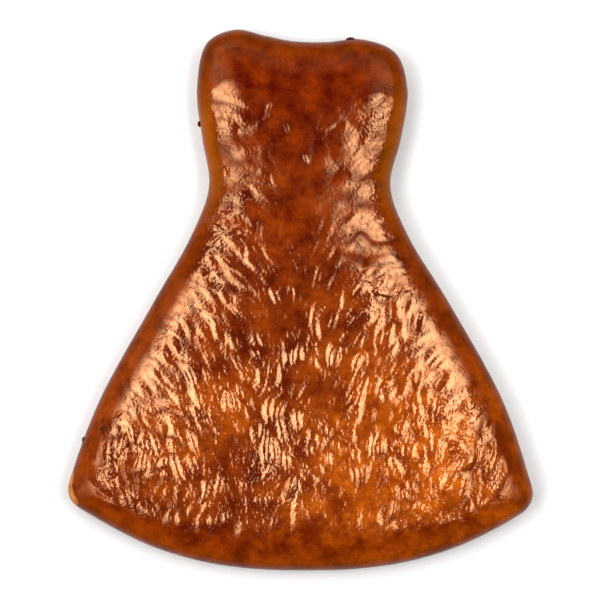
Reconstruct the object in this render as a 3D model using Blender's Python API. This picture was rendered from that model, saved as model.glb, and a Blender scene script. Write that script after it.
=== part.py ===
"""A baked gingerbread biscuit cut as a strapless dress: bodice, waist and flared skirt.

It lies on its flat underside with the glazed face up. X runs across the dress, Y from the hem to the
neckline and Z up from the underside; the origin is under the middle of its bounding box. Sizes are in
millimetres, and MM turns them into Blender's metres where the mesh is made.
"""

import math

import bmesh
import bpy
import numpy as np

MM = 0.001
COOKIE = "gingerbread_dress"

# Outline, seen from above. The length runs from the hem's lowest point to the higher bust lobe.
LENGTH = 95.0
HEM_Y = -LENGTH / 2
NECK_Y = LENGTH / 2
# The dressmaker's measures up the side seams: height, half width on the left, half width on the right.
SIDE_MEASURES = (
    (-30.0, 40.0, 39.8),  # just above the hem's corners
    (-17.6, 35.3, 35.5),
    (0.0, 25.6, 25.8),  # hip
    (11.5, 19.1, 18.8),
    (20.0, 16.1, 15.8),  # waist
    (28.5, 17.3, 17.7),
    (37.0, 18.2, 18.8),  # bust
)
# The neckline dips between two lobes, and the left lobe rose higher in the oven than the right one.
SHOULDER_RIGHT = (16.7, 43.4)
SHOULDER_LEFT = (-16.4, 45.2)
NECKLINE = ((10.6, 45.8), (4.5, 45.3), (-1.5, 45.5), (-6.5, 46.5), (-11.4, NECK_Y))
# The hem is a shallow bow that turns up faster towards its corners.
HEM_MIDDLE_X = 0.8
HEM_HALF = 36.2
HEM_RISE = 8.9
HEM_POWER = 2.5
HEM_STATIONS = (-36.0, -27.0, -18.0, -9.0, 1.0, 10.5, 19.5, 28.5, 37.0)
HEM_CORNER_LEFT = ((-40.8, -33.5), (-39.9, -35.6))
HEM_CORNER_RIGHT = ((39.9, -36.5), (40.8, -34.2))

# Section of the baked dough: a tucked-in foot, a widest line, a rounded edge and a low dome.
WIDEST_Z = 2.9
FOOT_INSET = 0.9
EDGE_WIDTH = 1.4
EDGE_RISE = 1.7
SWELLS = ((6.0, 1.05), (21.0, 3.8))  # width and rise of the shoulder and of the dome behind it
MITRE_START = 1.4  # inboard of here the depth from the edge turns into the soft depth
MITRE_END = 4.0

# Relief of the glaze skin, which wrinkled as the risen dough sank back: each layer's crease spacing
# across the grain, its length along the grain, its height and the seed of its draw.
GRAIN_LAYERS = (
    (2.1, 6.0, 0.12, 11),
    (0.9, 4.2, 0.16, 12),
)
CREASE_ROUNDING = 0.22  # of a layer's own spread, so that a crease's floor isn't a knife edge
SMOOTH_RIM = (1.0, 2.6)  # the skin is tight up to the first depth and fully wrinkled from the second
CALM_BODICE = 0.75  # share of the relief lost down the middle from the hip up to above the waist
SIDE_FOLDS = 0.3  # share of it gained at the sides there, where the skin is folded
CALM_FROM = -8.0
CALM_TO = 16.0
CALM_NECK = (34.0, 40.0)
CALM_NECK_LOSS = 0.8
LOW_SKIRT = (-14.0, -30.0)  # the relief grows again towards the hem
LOW_SKIRT_GAIN = 0.35
SMOOTH_HEM = (2.0, 7.0)  # above the hem's bow, where the skin is tight again
PATCH_SIZE = 2.5
PATCH_SEED = 5
LEAN_LOW = 30.0  # degrees from upright that the creases lean at the skirt's sides, near the hem
LEAN_HIGH = 78.0  # and at the sides of the waist and bodice, where they run in from the edge
LEAN_FROM = -25.0
LEAN_TO = 14.0
STRAY = 0.45  # radians by which a crease strays from its way, over a stretch of this many spacings
STRAY_SIZE = 2.2
CELL = 0.25  # of the square raster on which the relief is worked out
MARGIN = 6.0
COARSE_BLUR = 0.4  # what the facets below can't carry is smoothed away first

# Facets
LOOP_STEPS = 24  # between two outline anchors
ACROSS = 54
ALONG = 72
BOW_FADE = 3.0  # power by which the hem's and the neckline's bows fade towards the other end
RIM_CROWDING = 0.25  # share of the spacing that is crowded towards the edges
RIM_DEPTH = 2.2  # of the rings between the widest line and the grid
RIM_RINGS = 4
FOOT_RINGS = 3


def clear_scene():
    for obj in list(bpy.data.objects):
        bpy.data.objects.remove(obj)


def ramp(low, high, value):
    """0 below low, 1 above high, and a smooth step between."""
    share = np.clip((value - low) / (high - low), 0.0, 1.0)
    return share * share * (3 - 2 * share)


# --- Outline ---------------------------------------------------------------------------------------


def hem_point(x):
    return x, HEM_Y + HEM_RISE * (abs(x - HEM_MIDDLE_X) / HEM_HALF) ** HEM_POWER


def outline_anchors():
    """Anchors of the outline, anticlockwise from above the right hem corner."""
    right = [(half, y) for y, _, half in SIDE_MEASURES]
    left = [(-half, y) for y, half, _ in reversed(SIDE_MEASURES)]
    hem = [hem_point(x) for x in HEM_STATIONS]
    neck = [SHOULDER_RIGHT, *NECKLINE, SHOULDER_LEFT]
    return right + neck + left + list(HEM_CORNER_LEFT) + hem + list(HEM_CORNER_RIGHT)


def smooth_loop(anchors):
    """A closed centripetal Catmull-Rom curve through the anchors."""
    ring = np.array(anchors)
    count = len(ring)
    spans = []
    for i in range(count):
        a, b, c, d = (ring[(i + k) % count] for k in (-1, 0, 1, 2))
        knots = np.cumsum([0.0] + [math.dist(p, q) ** 0.5 for p, q in ((a, b), (b, c), (c, d))])
        t = np.linspace(knots[1], knots[2], LOOP_STEPS, endpoint=False)[:, None]

        def mix(p, q, low, high, t=t, knots=knots):
            return ((knots[high] - t) * p + (t - knots[low]) * q) / (knots[high] - knots[low])

        ab, bc, cd = mix(a, b, 0, 1), mix(b, c, 1, 2), mix(c, d, 2, 3)
        spans.append(mix(mix(ab, bc, 0, 2), mix(bc, cd, 1, 3), 1, 2))
    return np.concatenate(spans)


class Outline:
    """The outline as a closed curve that is read by place, the share of its length from the start."""

    def __init__(self, points):
        steps = np.roll(points, -1, 0) - points
        lengths = np.hypot(*steps.T)
        self.points = points
        self.middles = points + steps / 2
        self.lengths = lengths
        self.places = np.concatenate([[0.0], np.cumsum(lengths)]) / lengths.sum()
        ahead = np.roll(points, -1, 0) - np.roll(points, 1, 0)
        self.inward = np.stack([-ahead[:, 1], ahead[:, 0]], 1) / np.hypot(*ahead.T)[:, None]

    def read(self, table, place):
        closed = np.concatenate([table, table[:1]])
        return np.array([np.interp(place % 1.0, self.places, closed[:, k]) for k in (0, 1)])

    def at(self, place, inset):
        """The point at a place, moved inwards by inset."""
        normal = self.read(self.inward, place)
        return self.read(self.points, place) + normal * (inset / np.hypot(*normal))

    def place_of(self, *targets):
        """The place halfway between the outline's nearest points to the targets."""
        nearest = [np.hypot(*(self.points - target).T).argmin() for target in targets]
        return float(np.mean([self.places[i] for i in nearest]))


# --- Section ---------------------------------------------------------------------------------------


def depths_from_edge(outline, spots):
    """How far each spot lies inside the outline: the plain distance near the edge, and further in a
    soft one, to which every stretch of the edge adds, so that no ridge runs in from the corners."""
    plain = np.empty(len(spots))
    soft = np.empty(len(spots))
    for i, spot in enumerate(spots):
        square = ((outline.middles - spot) ** 2).sum(1)
        plain[i] = math.sqrt(square.min())
        soft[i] = (outline.lengths / square**1.5).sum()
    soft = (soft / 2) ** -0.5
    inboard = ramp(MITRE_START, MITRE_END, plain)
    return plain * (1 - inboard) + soft * inboard


def dough_height(depth):
    """Height of the plain risen dough at a depth from the widest line."""
    height = WIDEST_Z + EDGE_RISE * np.sqrt(1 - np.clip(1 - depth / EDGE_WIDTH, 0.0, 1.0) ** 2)
    for width, rise in SWELLS:
        height = height + rise * (1 - np.clip(1 - depth / width, 0.0, 1.0) ** 2)
    return height


# --- Relief of the glaze skin ----------------------------------------------------------------------


def blurred(field, sigma):
    """The raster softened by a Gaussian of sigma millimetres."""
    rows = np.fft.fftfreq(field.shape[0], CELL)[:, None]
    columns = np.fft.rfftfreq(field.shape[1], CELL)[None, :]
    kept = np.exp(-2 * (math.pi * sigma) ** 2 * (rows**2 + columns**2))
    return np.fft.irfft2(np.fft.rfft2(field) * kept, s=field.shape)


def read_raster(field, column, row):
    """The raster between its cells."""
    column = np.clip(column, 0, field.shape[1] - 1.001)
    row = np.clip(row, 0, field.shape[0] - 1.001)
    i, j = row.astype(int), column.astype(int)
    down, across = row - i, column - j
    low = field[i, j] * (1 - across) + field[i, j + 1] * across
    high = field[i + 1, j] * (1 - across) + field[i + 1, j + 1] * across
    return low * (1 - down) + high * down


def half_width(y):
    """Half the dress's width at a height, the mean of its two sides."""
    heights = [HEM_Y] + [m[0] for m in SIDE_MEASURES]
    halves = [SIDE_MEASURES[0][1]] + [(m[1] + m[2]) / 2 for m in SIDE_MEASURES]
    return np.interp(y, heights, halves)


def grain_direction(x, y):
    """The way the creases run: upright down the middle, and leaning in from the edges at the sides."""
    share = np.clip(x / half_width(y), -1.0, 1.0)
    upper = ramp(LEAN_FROM, LEAN_TO, y)
    lean = np.radians(LEAN_LOW + (LEAN_HIGH - LEAN_LOW) * upper)
    angle = lean * np.sign(share) * np.abs(share)
    return np.sin(angle), np.cos(angle)


def noise(shape, seed, sigma):
    """Soft random blots with a spread of 1."""
    blots = blurred(np.random.default_rng(seed).standard_normal(shape), sigma)
    return blots / blots.std()


def creases(seed, spacing, length, east, north):
    """Random blots smeared along the grain, which strays a little, with a mean of 0 and a spread of 1."""
    stray = STRAY * noise(east.shape, seed + 100, spacing * STRAY_SIZE)
    east, north = (
        east * np.cos(stray) - north * np.sin(stray),
        east * np.sin(stray) + north * np.cos(stray),
    )
    blots = noise(east.shape, seed, spacing / 2)
    total = blots.copy()
    stride = spacing / 2 / CELL
    steps = max(2, round(length / spacing))
    for way in (1, -1):
        row, column = np.mgrid[0 : east.shape[0], 0 : east.shape[1]].astype(float)
        for step in range(1, steps + 1):
            along = read_raster(east, column, row), read_raster(north, column, row)
            column += way * stride * along[0]
            row += way * stride * along[1]
            total += (0.5 + 0.5 * math.cos(math.pi * step / (steps + 1))) * read_raster(blots, column, row)
    total -= total.mean()
    return total / total.std()


def skin_relief():
    """The wrinkled skin's height over the plain dough where it is fully wrinkled, as a raster."""
    columns = round((2 * SIDE_MEASURES[0][1] + 2 * MARGIN) / CELL)
    rows = round((LENGTH + 2 * MARGIN) / CELL)
    row, column = np.mgrid[0:rows, 0:columns]
    x = column * CELL - SIDE_MEASURES[0][1] - MARGIN
    y = row * CELL + HEM_Y - MARGIN
    east, north = grain_direction(x, y)
    relief = np.zeros_like(x)
    for spacing, length, height, seed in GRAIN_LAYERS:
        swing = creases(seed, spacing, length, east, north)
        relief += height * np.sqrt(swing**2 + CREASE_ROUNDING**2)
    strength = np.clip(1.0 + 0.25 * noise(x.shape, PATCH_SEED, PATCH_SIZE), 0.5, 1.6)
    middle = 1 - np.clip(np.abs(x) / half_width(y), 0.0, 1.0) ** 2
    strength *= 1 + ramp(CALM_FROM, CALM_TO, y) * (SIDE_FOLDS * (1 - middle) - CALM_BODICE * middle)
    strength *= 1 - CALM_NECK_LOSS * ramp(*CALM_NECK, y)
    strength *= 1 + LOW_SKIRT_GAIN * ramp(*LOW_SKIRT, y)
    strength *= ramp(*SMOOTH_HEM, y - hem_point(x)[1])
    return blurred(relief * strength, COARSE_BLUR)


# --- Solid -----------------------------------------------------------------------------------------


def crowded(share):
    """A share from 0 to 1, with the steps closer together near both ends."""
    return (1 - RIM_CROWDING) * share + RIM_CROWDING * (1 - math.cos(math.pi * share)) / 2


def patch_sides(outline):
    """Where the four sides of the patch lie on the outline, as (start, end) places: hem, right side,
    neckline and left side, each run left to right or bottom to top."""
    start_left = outline.place_of(*HEM_CORNER_LEFT)
    start_right = outline.place_of(*HEM_CORNER_RIGHT)
    end_right = outline.place_of(SHOULDER_RIGHT)
    end_left = outline.place_of(SHOULDER_LEFT)
    return {
        "hem": (start_left, start_right),
        "right": (start_right - 1, end_right),
        "neck": (end_left, end_right),
        "left": (start_left, end_left),
    }


def place_on(side, share):
    return side[0] + (side[1] - side[0]) * share


def patch_point(outline, sides, inset, u, v):
    """The point at u across and v up: straight rows between the side seams, bowed like the hem and the
    neckline near them. The bows fade faster than in a plain Coons patch, which would fold at the waist."""
    left = outline.at(place_on(sides["left"], v), inset)
    right = outline.at(place_on(sides["right"], v), inset)
    point = (1 - u) * left + u * right
    for row, share in (("hem", 1 - v), ("neck", v)):
        start, along, end = (outline.at(place_on(sides[row], at), inset) for at in (0.0, u, 1.0))
        point = point + share**BOW_FADE * (along - (1 - u) * start - u * end)
    return point


def rim_place(sides, u, v):
    """The place on the outline of a point on the patch's border."""
    if v in (0.0, 1.0):
        return place_on(sides["hem" if v == 0.0 else "neck"], u) % 1.0
    return place_on(sides["left" if u == 0.0 else "right"], v) % 1.0


def lay_top(bm, outline, sides, inset, place_layer):
    """The glazed face inside its rim: a grid laid over the dress, raised, and creased."""
    bmesh.ops.create_grid(bm, x_segments=ACROSS, y_segments=ALONG, size=0.5)
    spots = []
    for vert in bm.verts:
        u, v = (crowded(round(c + 0.5, 6)) for c in vert.co.xy)
        if vert.is_boundary:
            vert[place_layer] = rim_place(sides, u, v)
        spots.append(patch_point(outline, sides, inset, u, v))
    spots = np.array(spots)
    depths = depths_from_edge(outline, spots)
    relief = skin_relief()
    column = (spots[:, 0] + SIDE_MEASURES[0][1] + MARGIN) / CELL
    row = (spots[:, 1] - HEM_Y + MARGIN) / CELL
    heights = dough_height(depths) + read_raster(relief, column, row) * ramp(*SMOOTH_RIM, depths)
    for vert, spot, height in zip(bm.verts, spots, heights):
        vert.co = (spot[0] * MM, spot[1] * MM, height * MM)


def add_ring(bm, outline, place_layer, inset, height):
    """Extrudes the open border once, and carries the new loop to its inset and height."""
    border = [edge for edge in bm.edges if edge.is_boundary]
    bmesh.ops.extrude_edge_only(bm, edges=border)
    for vert in bm.verts:
        if vert.is_boundary:
            x, y = outline.at(vert[place_layer], inset)
            vert.co = (x * MM, y * MM, height * MM)


def make_cookie():
    outline = Outline(smooth_loop(outline_anchors()))
    sides = patch_sides(outline)
    bm = bmesh.new()
    place_layer = bm.verts.layers.float.new("outline_place")
    insets = [
        RIM_DEPTH * (1 - math.cos(math.pi / 2 * ring / RIM_RINGS)) for ring in range(RIM_RINGS, -1, -1)
    ]
    lay_top(bm, outline, sides, insets[0], place_layer)
    for inset in insets[1:]:
        add_ring(bm, outline, place_layer, inset, float(dough_height(inset)))
    for ring in range(1, FOOT_RINGS + 1):
        angle = math.pi / 2 * ring / FOOT_RINGS
        inset = FOOT_INSET * (1 - math.cos(angle))
        add_ring(bm, outline, place_layer, inset, WIDEST_Z * (1 - math.sin(angle)))
    bmesh.ops.edgeloop_fill(bm, edges=[edge for edge in bm.edges if edge.is_boundary])
    bm.verts.layers.float.remove(place_layer)
    bmesh.ops.recalc_face_normals(bm, faces=bm.faces)
    mesh = bpy.data.meshes.new(COOKIE)
    bm.to_mesh(mesh)
    bm.free()
    mesh.shade_smooth()
    mesh.set_sharp_from_angle(angle=math.radians(50))
    return mesh


def glazed_crust():
    """Honey gingerbread under a baked egg glaze: deep red brown, with a satin shine."""
    material = bpy.data.materials.new("glazed_crust")
    material.use_nodes = True
    shader = material.node_tree.nodes["Principled BSDF"]
    shader.inputs["Base Color"].default_value = (0.30, 0.075, 0.008, 1.0)
    shader.inputs["Metallic"].default_value = 0.0
    shader.inputs["Roughness"].default_value = 0.35
    return material


def main():
    clear_scene()
    collection = bpy.data.collections.new(COOKIE + "_parts")
    bpy.context.scene.collection.children.link(collection)
    mesh = make_cookie()
    mesh.materials.append(glazed_crust())
    collection.objects.link(bpy.data.objects.new(COOKIE, mesh))


main()
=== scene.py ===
# %% [markdown]
# # A glazed gingerbread dress
#
# The real thing is one piece of honey gingerbread, cut with a dress-shaped cutter, brushed with an egg and
# honey glaze and baked. It rose, and as it cooled the soft middle sank back a little under its glaze, so
# the skin wrinkled. Nothing in it moves.
#
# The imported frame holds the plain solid. This lesson lays a much finer skin over the same form, with the
# wrinkles, cracks and crumbs that show from close by, and then finishes and lights it.

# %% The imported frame
import math

import bmesh
import bpy
import numpy as np
from mathutils import Matrix, Vector


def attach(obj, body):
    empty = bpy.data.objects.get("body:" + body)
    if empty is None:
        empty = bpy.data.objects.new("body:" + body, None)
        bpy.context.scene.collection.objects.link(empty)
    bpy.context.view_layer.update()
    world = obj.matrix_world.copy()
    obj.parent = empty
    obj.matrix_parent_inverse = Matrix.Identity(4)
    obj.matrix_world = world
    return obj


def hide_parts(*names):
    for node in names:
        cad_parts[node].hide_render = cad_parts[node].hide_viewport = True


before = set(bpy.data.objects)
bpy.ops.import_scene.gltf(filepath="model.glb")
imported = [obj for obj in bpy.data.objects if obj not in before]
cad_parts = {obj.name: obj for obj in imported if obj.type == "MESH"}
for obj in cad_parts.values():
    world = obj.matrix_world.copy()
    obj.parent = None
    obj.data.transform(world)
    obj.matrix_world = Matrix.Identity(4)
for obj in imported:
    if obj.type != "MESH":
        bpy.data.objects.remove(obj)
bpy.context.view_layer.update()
MM = 0.001  # the lesson counts in millimetres, and Blender's meshes in metres
DOUGH = "gingerbread_dress"

# %% [markdown]
# ## The cutter's outline
#
# A dress is drafted from a few measures: how wide it is at the bust, waist, hip and hem. A closed
# Catmull-Rom curve runs through such points smoothly without any handles to place, which is why it is
# used here and not a Bezier curve. The hem is a bow with a formula of its own.

# %% Measures of the dress
LENGTH = 95.0
HEM_Y = -LENGTH / 2
NECK_Y = LENGTH / 2
SIDE_MEASURES = (  # height, half width on the left, half width on the right
    (-30.0, 40.0, 39.8),
    (-17.6, 35.3, 35.5),
    (0.0, 25.6, 25.8),
    (11.5, 19.1, 18.8),
    (20.0, 16.1, 15.8),
    (28.5, 17.3, 17.7),
    (37.0, 18.2, 18.8),
)
SHOULDER_RIGHT = (16.7, 43.4)
SHOULDER_LEFT = (-16.4, 45.2)
NECKLINE = ((10.6, 45.8), (4.5, 45.3), (-1.5, 45.5), (-6.5, 46.5), (-11.4, NECK_Y))
HEM_MIDDLE_X = 0.8
HEM_HALF = 36.2
HEM_RISE = 8.9  # of the bow, from its middle to its ends
HEM_POWER = 2.5
HEM_STATIONS = (-36.0, -27.0, -18.0, -9.0, 1.0, 10.5, 19.5, 28.5, 37.0)
HEM_CORNER_LEFT = ((-40.8, -33.5), (-39.9, -35.6))
HEM_CORNER_RIGHT = ((39.9, -36.5), (40.8, -34.2))


def hem_point(x):
    return x, HEM_Y + HEM_RISE * (abs(x - HEM_MIDDLE_X) / HEM_HALF) ** HEM_POWER


def outline_anchors():
    """Anchors of the outline, anticlockwise from above the right hem corner."""
    right = [(half, y) for y, _, half in SIDE_MEASURES]
    left = [(-half, y) for y, half, _ in reversed(SIDE_MEASURES)]
    hem = [hem_point(x) for x in HEM_STATIONS]
    neck = [SHOULDER_RIGHT, *NECKLINE, SHOULDER_LEFT]
    return right + neck + left + list(HEM_CORNER_LEFT) + hem + list(HEM_CORNER_RIGHT)


# %% A smooth loop through the anchors
LOOP_STEPS = 24  # points from one anchor to the next


def smooth_loop(anchors):
    """A closed centripetal Catmull-Rom curve through the anchors."""
    ring = np.array(anchors)
    spans = []
    for i in range(len(ring)):
        a, b, c, d = (ring[(i + k) % len(ring)] for k in (-1, 0, 1, 2))
        knots = np.cumsum([0.0] + [math.dist(p, q) ** 0.5 for p, q in ((a, b), (b, c), (c, d))])
        t = np.linspace(knots[1], knots[2], LOOP_STEPS, endpoint=False)[:, None]

        def mix(p, q, low, high, t=t, knots=knots):
            return ((knots[high] - t) * p + (t - knots[low]) * q) / (knots[high] - knots[low])

        ab, bc, cd = mix(a, b, 0, 1), mix(b, c, 1, 2), mix(c, d, 2, 3)
        spans.append(mix(mix(ab, bc, 0, 2), mix(bc, cd, 1, 3), 1, 2))
    return np.concatenate(spans)


# %% [markdown]
# ## Reading the outline by place
#
# The skin's grid, the rings of faces down the side and the distances to the edge all have to find points on
# the outline. A place on it is written as a share of its length, from 0 to 1, so that faces can be spread
# evenly along any stretch, however it bends. A small class keeps the points, their places and the inward
# direction together. The same could be done by walking along a Blender curve made into a mesh, with more
# steps and nothing gained.

# %% The outline as a curve that is read by place
class Outline:
    """A place is the share of the outline's length from its start, and places may come as an array."""

    def __init__(self, points):
        steps = np.roll(points, -1, 0) - points
        lengths = np.hypot(*steps.T)
        self.points = points
        self.middles = points + steps / 2
        self.lengths = lengths
        self.places = np.concatenate([[0.0], np.cumsum(lengths)]) / lengths.sum()
        ahead = np.roll(points, -1, 0) - np.roll(points, 1, 0)
        self.inward = np.stack([-ahead[:, 1], ahead[:, 0]], 1) / np.hypot(*ahead.T)[:, None]

    def read(self, table, place):
        closed = np.concatenate([table, table[:1]])
        place = np.mod(place, 1.0)
        return np.stack([np.interp(place, self.places, closed[:, k]) for k in (0, 1)], -1)

    def at(self, place, inset):
        """The points at these places, moved inwards by inset."""
        normal = self.read(self.inward, place)
        normal /= np.hypot(normal[..., 0], normal[..., 1])[..., None]
        return self.read(self.points, place) + normal * np.asarray(inset)[..., None]

    def place_of(self, *targets):
        """The place halfway between the outline's nearest points to the targets."""
        nearest = [np.hypot(*(self.points - target).T).argmin() for target in targets]
        return float(np.mean([self.places[i] for i in nearest]))


outline = Outline(smooth_loop(outline_anchors()))
loop_length = float(outline.lengths.sum())
print("outline, mm:", round(loop_length, 1), "long from", len(outline_anchors()), "anchors")

# %% [markdown]
# ## How the dough rose
#
# Cut through anywhere near the edge, a baked biscuit has a tucked-in foot, a widest line a few
# millimetres up, a round shoulder and then a low crown. All of that depends only on how far inboard a
# point is. The plain distance to the edge would leave a crease running in from every corner, as on a hip
# roof, so further in it turns into a soft distance to which every stretch of the edge adds.

# %% How far a spot lies from the edge
MITRE_START = 1.4  # the plain distance turns into the soft one between these two
MITRE_END = 4.0
CHUNK = 4000  # spots measured at a time, so that the distance table stays small
TINY = 1e-6


def ramp(low, high, value):
    """0 at low, 1 at high, and a smooth step between. It falls where low is above high."""
    share = np.clip((value - low) / (high - low), 0.0, 1.0)
    return share * share * (3 - 2 * share)


def depths_from_edge(spots):
    """How far each spot lies inside the outline. Beside a long straight edge, the soft distance is equal to
    the plain one."""
    found = []
    for start in range(0, len(spots), CHUNK):
        away = spots[start : start + CHUNK, None, :] - outline.middles[None, :, :]
        square = np.maximum((away**2).sum(2), TINY)
        plain = np.sqrt(square.min(1))
        soft = ((outline.lengths / square**1.5).sum(1) / 2) ** -0.5
        inboard = ramp(MITRE_START, MITRE_END, plain)
        found.append(plain * (1 - inboard) + soft * inboard)
    return np.concatenate(found)


# %% Section of the baked dough
WIDEST_Z = 2.9
FOOT_INSET = 0.9
EDGE_WIDTH = 1.4  # the cut edge rounds over
EDGE_RISE = 1.7
SWELLS = ((6.0, 1.05), (21.0, 3.8))  # width and rise of the shoulder and the dome behind it


def dough_height(depth):
    """Height of the plain risen dough at a depth from the widest line."""
    height = WIDEST_Z + EDGE_RISE * np.sqrt(1 - np.clip(1 - depth / EDGE_WIDTH, 0.0, 1.0) ** 2)
    for width, rise in SWELLS:
        height = height + rise * (1 - np.clip(1 - depth / width, 0.0, 1.0) ** 2)
    return height


stations = [EDGE_WIDTH] + [width for width, _ in SWELLS]
print("dough, mm high:", [round(float(dough_height(depth)), 2) for depth in stations])

# %% [markdown]
# ## The wrinkled skin
#
# Wrinkles in a shrinking skin are soft hills with sharp valleys, several times longer than wide, and they
# follow the way the dough was stretched. One way to draw them is to scatter random blots, smear each blot
# along that direction, and fold the result with an absolute value, which turns every zero line into a
# valley. Layers of different spacing are added up. Sculpting by hand would give the same look, but this
# way the spacing, length and height of each layer stay readable as millimetres.

# %% Rasters over the dress
MARGIN = 6.0
HALF_SPAN = SIDE_MEASURES[0][1] + MARGIN
LAST_CELL = 1.001  # a spot in the last row or column still needs a neighbour to blend with


class Raster:
    """A raster of square cells over the whole dress."""

    def __init__(self, cell):
        self.cell = cell
        self.shape = (round((LENGTH + 2 * MARGIN) / cell), round(2 * HALF_SPAN / cell))
        row, column = np.mgrid[0 : self.shape[0], 0 : self.shape[1]]
        self.x = column * cell - HALF_SPAN
        self.y = row * cell + HEM_Y - MARGIN

    def blurred(self, field, sigma):
        rows = np.fft.fftfreq(self.shape[0], self.cell)[:, None]
        columns = np.fft.rfftfreq(self.shape[1], self.cell)[None, :]
        kept = np.exp(-2 * (math.pi * sigma) ** 2 * (rows**2 + columns**2))
        return np.fft.irfft2(np.fft.rfft2(field) * kept, s=self.shape)

    def noise(self, seed, sigma):
        """Soft random blots with a spread of 1."""
        blots = self.blurred(np.random.default_rng(seed).standard_normal(self.shape), sigma)
        return blots / blots.std()

    def read_cells(self, field, column, row):
        column = np.clip(column, 0, self.shape[1] - LAST_CELL)
        row = np.clip(row, 0, self.shape[0] - LAST_CELL)
        i, j = row.astype(int), column.astype(int)
        down, across = row - i, column - j
        low = field[i, j] * (1 - across) + field[i, j + 1] * across
        high = field[i + 1, j] * (1 - across) + field[i + 1, j + 1] * across
        return low * (1 - down) + high * down

    def read(self, field, spots):
        column = (spots[:, 0] + HALF_SPAN) / self.cell
        row = (spots[:, 1] - HEM_Y + MARGIN) / self.cell
        return self.read_cells(field, column, row)


# %% [markdown]
# ## Which way the skin was stretched
#
# The dough pulled towards its own middle as it shrank, so the wrinkles stand upright down the middle of the
# skirt, lean in from its sides, and lie almost level where the waist and the bodice are narrow. A direction
# that is worked out from the place keeps this rule in one short function, where combing strands by hand
# would have to be done again after every change to the outline.

# %% Direction of the wrinkles
LEAN_LOW = 30.0  # degrees by which a wrinkle at the side leans in, low on the skirt
LEAN_HIGH = 78.0  # and in the bodice
LEAN_FROM = -25.0  # the heights between which the lean changes
LEAN_TO = 14.0
LEAN_INWARD = 0.5  # how far the bodice's lean reaches in towards the middle


def half_width(y):
    heights = [HEM_Y] + [height for height, _, _ in SIDE_MEASURES]
    halves = [SIDE_MEASURES[0][1]] + [(left + right) / 2 for _, left, right in SIDE_MEASURES]
    return np.interp(y, heights, halves)


def grain_direction(x, y):
    """Upright down the middle, and leaning in from the edges at the sides."""
    share = np.clip(x / half_width(y), -1.0, 1.0)
    upper = ramp(LEAN_FROM, LEAN_TO, y)
    lean = np.radians(LEAN_LOW + (LEAN_HIGH - LEAN_LOW) * upper)
    angle = lean * np.sign(share) * np.abs(share) ** (1 - LEAN_INWARD * upper)
    return np.sin(angle), np.cos(angle)


# %% Blots smeared along the grain
STRAY = 0.3  # radians by which a wrinkle strays from its direction, over a stretch of this many spacings
STRAY_SIZE = 2.2
STRAY_SEED = 100  # added to a layer's own


def smeared_blots(raster, seed, spacing, length):
    """Random blots smeared along the grain, with a mean of 0 and a spread of 1."""
    east, north = grain_direction(raster.x, raster.y)
    stray = STRAY * raster.noise(seed + STRAY_SEED, spacing * STRAY_SIZE)
    east, north = (
        east * np.cos(stray) - north * np.sin(stray),
        east * np.sin(stray) + north * np.cos(stray),
    )
    blots = raster.blurred(np.random.default_rng(seed).standard_normal(raster.shape), spacing / 2)
    total = blots.copy()
    stride = spacing / 2 / raster.cell
    steps = max(2, round(length / spacing))
    for way in (1, -1):
        row, column = np.mgrid[0 : raster.shape[0], 0 : raster.shape[1]].astype(float)
        for step in range(1, steps + 1):
            along = raster.read_cells(east, column, row), raster.read_cells(north, column, row)
            column += way * stride * along[0]
            row += way * stride * along[1]
            weight = 0.5 + 0.5 * math.cos(math.pi * step / (steps + 1))
            total += weight * raster.read_cells(blots, column, row)
    total -= total.mean()
    return total / total.std()


# %% [markdown]
# ## Where the skin wrinkled most
#
# The skin stayed smooth along the rim and above the hem, where thin dough set before it could shrink, and
# near the neckline. It creased most at the sides of the waist and low on the skirt. Rather than masks
# painted by hand, each of these is a smooth step between two heights or two depths, and all of them are
# multiplied into one strength.

# %% Smooth bands and strong patches
COARSE_CELL = 0.25  # fine enough for blots of about a millimetre and more
SKIRT_BELOW = (2.0, 16.0)  # heights between which the skirt's smooth rim narrows to the bodice's
SMOOTH_RIM = (0.8, 3.0)  # depths between which the wrinkles set in, along the bodice
SKIRT_RIM = 0.8  # how much wider that band is along the skirt
SMOOTH_HEM = (2.5, 10.0)  # and heights over the hem's bow, in its middle
HEM_NARROWS = 1.4  # how much narrower the band over the hem is at its ends
PATCH_SIZE = 2.5  # patches of stronger and weaker wrinkles, by about this share and within these limits
PATCH_SEED = 5
PATCH_SHARE = 0.25
PATCH_LIMITS = (0.65, 1.6)
SIDE_FOLDS = 0.5  # how much stronger the skin is folded at the sides of the waist and bodice
CALM_BODICE = 0.75  # how much weaker down the middle of the bodice
CALM_MIDDLE = 0.3  # and down the middle of the skirt
CALM_FROM = -8.0  # heights between which the skirt's share gives way to the bodice's
CALM_TO = 16.0
CALM_NECK = (34.0, 40.0)  # heights between which the wrinkles fade towards the neckline
CALM_NECK_LOSS = 0.8
LOW_SKIRT = (-14.0, -30.0)  # heights between which they grow towards the hem
LOW_SKIRT_GAIN = 0.35


def crinkled(spots, depths):
    """0 on the smooth bands along the rim and the hem, and 1 inboard of them."""
    x, y = spots.T
    skirt = 1 - ramp(*SKIRT_BELOW, y)
    rise = (y - hem_point(x)[1]) * (1 + HEM_NARROWS * (x / HEM_HALF) ** 2)
    return ramp(*SMOOTH_RIM, depths / (1 + SKIRT_RIM * skirt)) * ramp(*SMOOTH_HEM, rise)


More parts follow.
